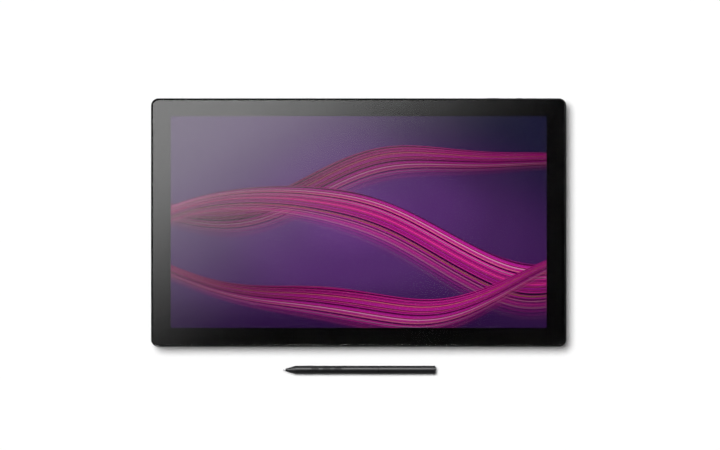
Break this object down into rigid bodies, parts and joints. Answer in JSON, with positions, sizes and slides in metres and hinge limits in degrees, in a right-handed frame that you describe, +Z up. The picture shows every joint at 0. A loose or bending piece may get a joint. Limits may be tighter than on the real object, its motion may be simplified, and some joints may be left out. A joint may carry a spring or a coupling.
{
  "type": "pen display tablet",
  "caption": "Flat graphics tablet with a built-in screen, bevelled back, side grips with express keys, fold-out legs and a port bay, with its pen lying before it.",
  "frame": {"origin": "on the desk, under the middle of the box around tablet and pen", "axes": "+X along the long side to the user's right, +Y away from the user, +Z up out of the screen"},
  "size_m": [0.422, 0.281, 0.022],
  "materials": {
    "frame_black": "satin black paint",
    "cover_glass": "etched cover glass",
    "border_black": "black print behind the glass",
    "lit_screen": "lit screen with a violet picture",
    "white_sheet": "white film",
    "clear_plastic": "clear acrylic",
    "steel_plate": "pressed sheet",
    "circuit_board": "green solder mask",
    "cast_alloy": "die-cast plate",
    "dark_screw": "blackened steel",
    "chip_black": "moulded package",
    "copper": "bare copper",
    "inner_black": "moulded",
    "amber_film": "polyimide film",
    "cover_black": "fine spark texture",
    "grip_rubber": "soft grip with fine ribs",
    "port_steel": "nickel plated",
    "brass_insert": "turned",
    "foot_rubber": "matt",
    "key_black": "satin",
    "pen_black": "soft satin coat",
    "pen_ring": "gloss",
    "nib_grey": "smooth"
  },
  "bodies": {
    "tablet": {"front_frame": "frame_black", "cover_glass": "cover_glass", "glass_border": "border_black", "lcd_panel": "lit_screen", "diffuser_sheet": "white_sheet", "light_guide": "clear_plastic", "led_bar": "white_sheet", "backlight_tray": "steel_plate", "sensor_board": "circuit_board", "shield_plate": "steel_plate", "chassis": "cast_alloy", "chassis_screws": "dark_screw", "main_board": "circuit_board", "board_chips": "chip_black", "board_screws": "dark_screw", "heat_spreader": "copper", "heat_pipe": "copper", "fan_housing": "inner_black", "driver_board": "circuit_board", "panel_flex": "amber_film", "rear_cover": "cover_black", "rear_cover_screws": "dark_screw", "left_grip": "grip_rubber", "right_grip": "grip_rubber", "left_key_board": "circuit_board", "right_key_board": "circuit_board", "control_board": "circuit_board", "light_pipe": "clear_plastic", "usb_c_ports": "port_steel", "hdmi_port": "port_steel", "lock_plate": "port_steel", "stand_inserts": "brass_insert", "foot_strips": "foot_rubber", "leg_pins": "port_steel"},
    "left_leg": {"left_leg": "cover_black", "left_leg_tip": "foot_rubber"},
    "right_leg": {"right_leg": "cover_black", "right_leg_tip": "foot_rubber"},
    "fan_rotor": {"fan_rotor": "inner_black"},
    "power_button": {"power_button": "key_black"},
    "touch_switch": {"touch_switch": "key_black"},
    "pen": {"pen_barrel": "pen_black", "pen_coil": "copper", "pen_force_sensor": "inner_black", "pen_board": "circuit_board", "pen_seam_ring": "pen_ring"},
    "pen_nib": {"pen_nib": "nib_grey"},
    "pen_switch_front": {"pen_switch_front": "key_black"},
    "pen_switch_middle": {"pen_switch_middle": "key_black"},
    "pen_switch_rear": {"pen_switch_rear": "key_black"},
    "pen_rear": {"pen_rear_barrel": "pen_black", "pen_tail_cap": "pen_black"},
    "left_express_key_1": {"left_express_key_1": "key_black"},
    "left_express_key_2": {"left_express_key_2": "key_black"},
    "left_express_key_3": {"left_express_key_3": "key_black"},
    "left_express_key_4": {"left_express_key_4": "key_black"},
    "right_express_key_1": {"right_express_key_1": "key_black"},
    "right_express_key_2": {"right_express_key_2": "key_black"},
    "right_express_key_3": {"right_express_key_3": "key_black"},
    "right_express_key_4": {"right_express_key_4": "key_black"}
  },
  "joints": [
    {"name": "left_leg_fold", "type": "hinge", "parent": "tablet", "child": "left_leg", "pos_m": [-0.131, 0.1002, 0.00615], "axis": [1, 0, 0], "range_deg": [0, 78]},
    {"name": "right_leg_fold", "type": "hinge", "parent": "tablet", "child": "right_leg", "pos_m": [0.131, 0.1002, 0.00615], "axis": [1, 0, 0], "range_deg": [0, 78]},
    {"name": "left_key_1_press", "type": "slide", "parent": "tablet", "child": "left_express_key_1", "axis": [0.6429, 0, 0.766], "range_m": [0, 0.0004], "stiffness_N_per_m": 1500, "springref_m": -0.0004},
    {"name": "left_key_2_press", "type": "slide", "parent": "tablet", "child": "left_express_key_2", "axis": [0.6429, 0, 0.766], "range_m": [0, 0.0004], "stiffness_N_per_m": 1500, "springref_m": -0.0004},
    {"name": "left_key_3_press", "type": "slide", "parent": "tablet", "child": "left_express_key_3", "axis": [0.6429, 0, 0.766], "range_m": [0, 0.0004], "stiffness_N_per_m": 1500, "springref_m": -0.0004},
    {"name": "left_key_4_press", "type": "slide", "parent": "tablet", "child": "left_express_key_4", "axis": [0.6429, 0, 0.766], "range_m": [0, 0.0004], "stiffness_N_per_m": 1500, "springref_m": -0.0004},
    {"name": "right_key_1_press", "type": "slide", "parent": "tablet", "child": "right_express_key_1", "axis": [-0.6429, 0, 0.766], "range_m": [0, 0.0004], "stiffness_N_per_m": 1500, "springref_m": -0.0004},
    {"name": "right_key_2_press", "type": "slide", "parent": "tablet", "child": "right_express_key_2", "axis": [-0.6429, 0, 0.766], "range_m": [0, 0.0004], "stiffness_N_per_m": 1500, "springref_m": -0.0004},
    {"name": "right_key_3_press", "type": "slide", "parent": "tablet", "child": "right_express_key_3", "axis": [-0.6429, 0, 0.766], "range_m": [0, 0.0004], "stiffness_N_per_m": 1500, "springref_m": -0.0004},
    {"name": "right_key_4_press", "type": "slide", "parent": "tablet", "child": "right_express_key_4", "axis": [-0.6429, 0, 0.766], "range_m": [0, 0.0004], "stiffness_N_per_m": 1500, "springref_m": -0.0004},
    {"name": "power_press", "type": "slide", "parent": "tablet", "child": "power_button", "axis": [0, -1, 0], "range_m": [0, 0.0004], "stiffness_N_per_m": 1500, "springref_m": -0.0004},
    {"name": "touch_slide", "type": "slide", "parent": "tablet", "child": "touch_switch", "axis": [-1, 0, 0], "range_m": [0, 0.0025]},
    {"name": "fan_spin", "type": "hinge", "parent": "tablet", "child": "fan_rotor", "pos_m": [-0.086, 0.0962, 0.0084], "axis": [0, 0, 1], "continuous": true},
    {"name": "pen_lift", "type": "slide", "parent": "tablet", "child": "pen", "axis": [0, 0, 1], "range_m": [0, 0.12]},
    {"name": "nib_press", "type": "slide", "parent": "pen", "child": "pen_nib", "axis": [1, 0, 0], "range_m": [0, 0.0003], "stiffness_N_per_m": 1500, "springref_m": -0.0003},
    {"name": "pen_switch_front_press", "type": "slide", "parent": "pen", "child": "pen_switch_front", "axis": [0, -0.1736, -0.9848], "range_m": [0, 0.00035], "stiffness_N_per_m": 1500, "springref_m": -0.00035},
    {"name": "pen_switch_middle_press", "type": "slide", "parent": "pen", "child": "pen_switch_middle", "axis": [0, -0.1736, -0.9848], "range_m": [0, 0.00035], "stiffness_N_per_m": 1500, "springref_m": -0.00035},
    {"name": "pen_switch_rear_press", "type": "slide", "parent": "pen", "child": "pen_switch_rear", "axis": [0, -0.1736, -0.9848], "range_m": [0, 0.00035], "stiffness_N_per_m": 1500, "springref_m": -0.00035},
    {"name": "pen_rear_pull", "type": "slide", "parent": "pen", "child": "pen_rear", "axis": [1, 0, 0], "range_m": [0, 0.06]}
  ]
}
